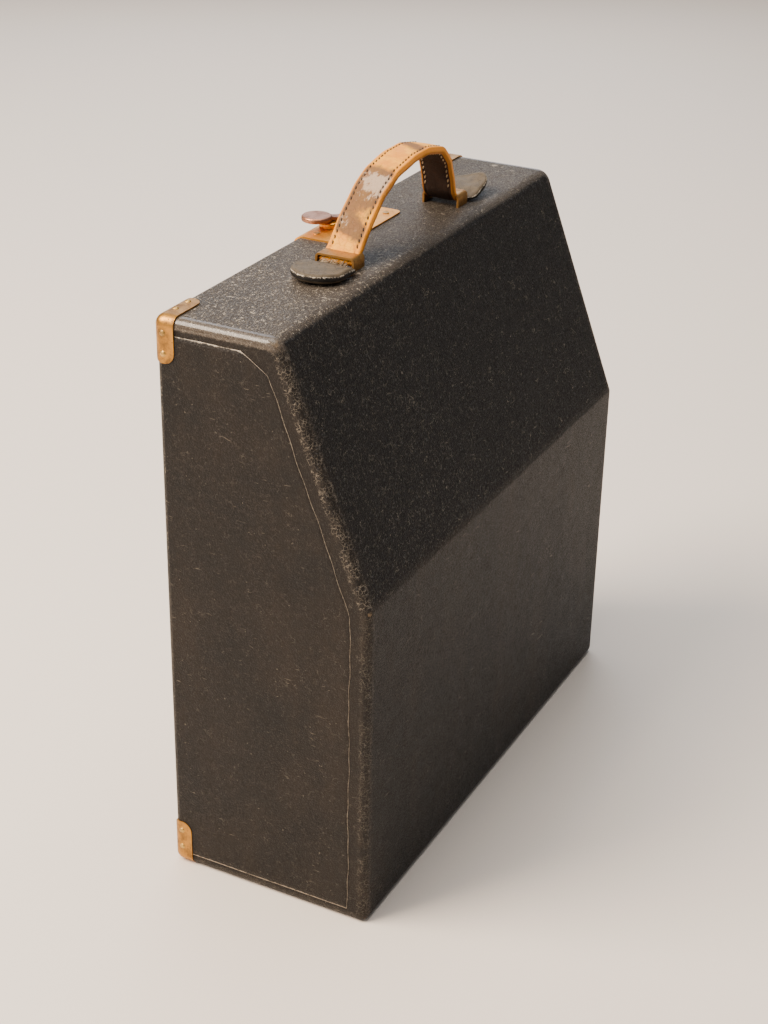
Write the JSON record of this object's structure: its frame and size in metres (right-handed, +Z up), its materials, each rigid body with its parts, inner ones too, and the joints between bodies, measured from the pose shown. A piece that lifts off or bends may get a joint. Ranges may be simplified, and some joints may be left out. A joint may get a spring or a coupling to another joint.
{
  "type": "travelling barograph in carrying case",
  "caption": "Recording aneroid barometer in a leathercloth-covered wooden case with sloping front, strap handle, brass latch and bottom-hinged rear door.",
  "frame": {"origin": "middle of the case's underside", "axes": "+Z up, +X along the case's length, +Y towards the rear door; the sloping side faces -Y"},
  "size_m": [0.3334, 0.127, 0.3742],
  "materials": {
    "leathercloth": "pebbled, satin",
    "plywood": "bare",
    "lining_cloth": "felted",
    "brass": "aged",
    "latch_brass": "polished by use",
    "thumb_bronze": "worn lacquer",
    "strap_leather": "worn",
    "tab_leather": "worn",
    "mahogany": "polished",
    "pine": "waxed",
    "card": "cloth-covered",
    "ink_glass": "clear",
    "capsule_alloy": "lacquered",
    "steel": "polished",
    "pen_alloy": "satin",
    "chart_paper": "matt"
  },
  "bodies": {
    "root": {"left_end_panel": "plywood", "right_end_panel": "plywood", "top_panel": "plywood", "slope_panel": "plywood", "front_panel": "plywood", "floor_panel": "plywood", "wrap_covering": "leathercloth", "floor_covering": "leathercloth", "left_side_covering": "leathercloth", "right_side_covering": "leathercloth", "case_lining": "lining_cloth", "door_stops": "pine", "top_corners": "brass", "bottom_corners": "brass", "corner_nails": "brass", "handle_staples": "brass", "latch_plate": "latch_brass", "case_hinges": "brass", "brass_screws": "brass", "shelf": "pine", "base_board": "mahogany", "bedplate": "brass", "movement_frame": "brass", "aneroid_capsules": "capsule_alloy", "pen_bracket": "brass", "drum_spindle": "steel", "fixed_wheel": "brass", "drum_nut": "brass"},
    "door": {"door_panel": "plywood", "door_covering": "leathercloth", "door_lining": "lining_cloth", "door_keeper": "brass", "door_hinge_leaves": "brass", "door_screws": "brass"},
    "latch": {"latch_claw": "latch_brass", "thumb_lever": "thumb_bronze"},
    "tab_left": {"handle_tab_left": "tab_leather"},
    "strap_left": {"handle_strap_left": "strap_leather"},
    "strap_right": {"handle_strap_right": "strap_leather"},
    "tab_right": {"handle_tab_right": "tab_leather"},
    "chart_box": {"chart_box": "card"},
    "ink_bottle": {"ink_bottle": "ink_glass"},
    "setting_screw": {"setting_screw": "brass"},
    "capsule_stud": {"capsule_stud": "brass"},
    "rocker": {"rocker_arbor": "brass"},
    "link": {"link_rod": "steel"},
    "pen_arbor": {"pen_arbor": "brass"},
    "pen": {"pen_arm": "pen_alloy", "pen_nib": "pen_alloy"},
    "pen_lifter": {"pen_lifter": "steel"},
    "drum": {"drum_shell": "brass", "chart_paper": "chart_paper", "chart_clip": "steel", "clock_plates": "brass"},
    "drive_pinion": {"drive_pinion": "steel"},
    "barrel": {"mainspring_barrel": "brass"},
    "winder": {"winding_arbor": "steel", "winding_key": "steel"},
    "balance": {"balance_wheel": "brass"}
  },
  "joints": [
    {"name": "door_open", "type": "hinge", "parent": "root", "child": "door", "pos_m": [0, 0.0636, 0.0083], "axis": [-1, 0, 0], "range_deg": [0, 91.5]},
    {"name": "latch_turn", "type": "hinge", "parent": "root", "child": "latch", "pos_m": [0.008, 0.046, 0.33], "axis": [0, 0, 1], "range_deg": [0, 60]},
    {"name": "handle_press", "type": "slide", "parent": "root", "child": "tab_left", "axis": [-1, 0, 0], "range_m": [0, 0.0035]},
    {"name": "strap_left_tilt", "type": "hinge", "parent": "tab_left", "child": "strap_left", "pos_m": [-0.04247, 0.017, 0.33291], "axis": [0, 1, 0], "range_deg": [0, 3.35]},
    {"name": "strap_crown_bend", "type": "hinge", "parent": "strap_left", "child": "strap_right", "pos_m": [0.027, 0.017, 0.3742], "axis": [0, -1, 0], "range_deg": [0, 10.46]},
    {"name": "strap_right_tilt", "type": "hinge", "parent": "strap_right", "child": "tab_right", "pos_m": [0.05784, 0.017, 0.33421], "axis": [0, 1, 0], "range_deg": [0, 7.12]},
    {"name": "chart_box_lift", "type": "slide", "parent": "root", "child": "chart_box", "axis": [0, 0, 1], "range_m": [0, 0.02]},
    {"name": "ink_bottle_lift", "type": "slide", "parent": "root", "child": "ink_bottle", "axis": [0, 0, 1], "range_m": [0, 0.02]},
    {"name": "setting_turn", "type": "hinge", "parent": "root", "child": "setting_screw", "pos_m": [0.1036, -0.008, 0.0365], "axis": [0, 0, 1], "range_deg": [-360, 360]},
    {"name": "pen_swing", "type": "hinge", "parent": "root", "child": "pen_arbor", "pos_m": [0.095, 0.0413, 0.0812], "axis": [0, 1, 0], "range_deg": [-12, 12]},
    {"name": "rocker_turn", "type": "hinge", "parent": "root", "child": "rocker", "pos_m": [0.095, 0, 0.11], "axis": [0, 1, 0], "range_deg": [-12.01, 12.01]},
    {"name": "link_follow", "type": "hinge", "parent": "rocker", "child": "link", "pos_m": [0.119, 0.0286, 0.11], "axis": [0, -1, 0], "range_deg": [-12.01, 12.01]},
    {"name": "stud_lift", "type": "slide", "parent": "root", "child": "capsule_stud", "axis": [0, 0, -1], "range_m": [-0.0018, 0.0018]},
    {"name": "pen_lift", "type": "hinge", "parent": "pen_arbor", "child": "pen", "pos_m": [0.095, 0.0413, 0.0812], "axis": [0, 0, -1], "range_deg": [0, 1.5]},
    {"name": "lifter_turn", "type": "hinge", "parent": "root", "child": "pen_lifter", "pos_m": [-0.036, 0.0393, 0.0233], "axis": [0, 0, -1], "range_deg": [0, 25]},
    {"name": "drum_turn", "type": "hinge", "parent": "root", "child": "drum", "pos_m": [-0.092, -0.006, 0.033], "axis": [0, 0, 1], "continuous": true},
    {"name": "pinion_turn", "type": "hinge", "parent": "drum", "child": "drive_pinion", "pos_m": [-0.07164, 0.01436, 0.033], "axis": [0, 0, 1], "continuous": true},
    {"name": "barrel_turn", "type": "hinge", "parent": "drum", "child": "barrel", "pos_m": [-0.112, -0.006, 0.042], "axis": [0, 0, 1], "continuous": true},
    {"name": "winding_turn", "type": "hinge", "parent": "drum", "child": "winder", "pos_m": [-0.112, -0.006, 0.042], "axis": [0, 0, 1], "continuous": true},
    {"name": "balance_swing", "type": "hinge", "parent": "drum", "child": "balance", "pos_m": [-0.072, -0.006, 0.079], "axis": [0, 0, 1], "range_deg": [-140, 140]}
  ],
  "couplings": [
    {"joint": "strap_left_tilt", "follows": "handle_press", "rad_per_m": 16.672},
    {"joint": "strap_crown_bend", "follows": "handle_press", "rad_per_m": 52.105},
    {"joint": "strap_right_tilt", "follows": "handle_press", "rad_per_m": 35.433},
    {"joint": "rocker_turn", "follows": "pen_swing", "ratio": 1},
    {"joint": "link_follow", "follows": "pen_swing", "ratio": 1},
    {"joint": "stud_lift", "follows": "pen_swing", "m_per_rad": 0.0086},
    {"joint": "pen_lift", "follows": "lifter_turn", "ratio": 0.06},
    {"joint": "pinion_turn", "follows": "drum_turn", "ratio": 5},
    {"joint": "barrel_turn", "follows": "drum_turn", "ratio": 5}
  ]
}
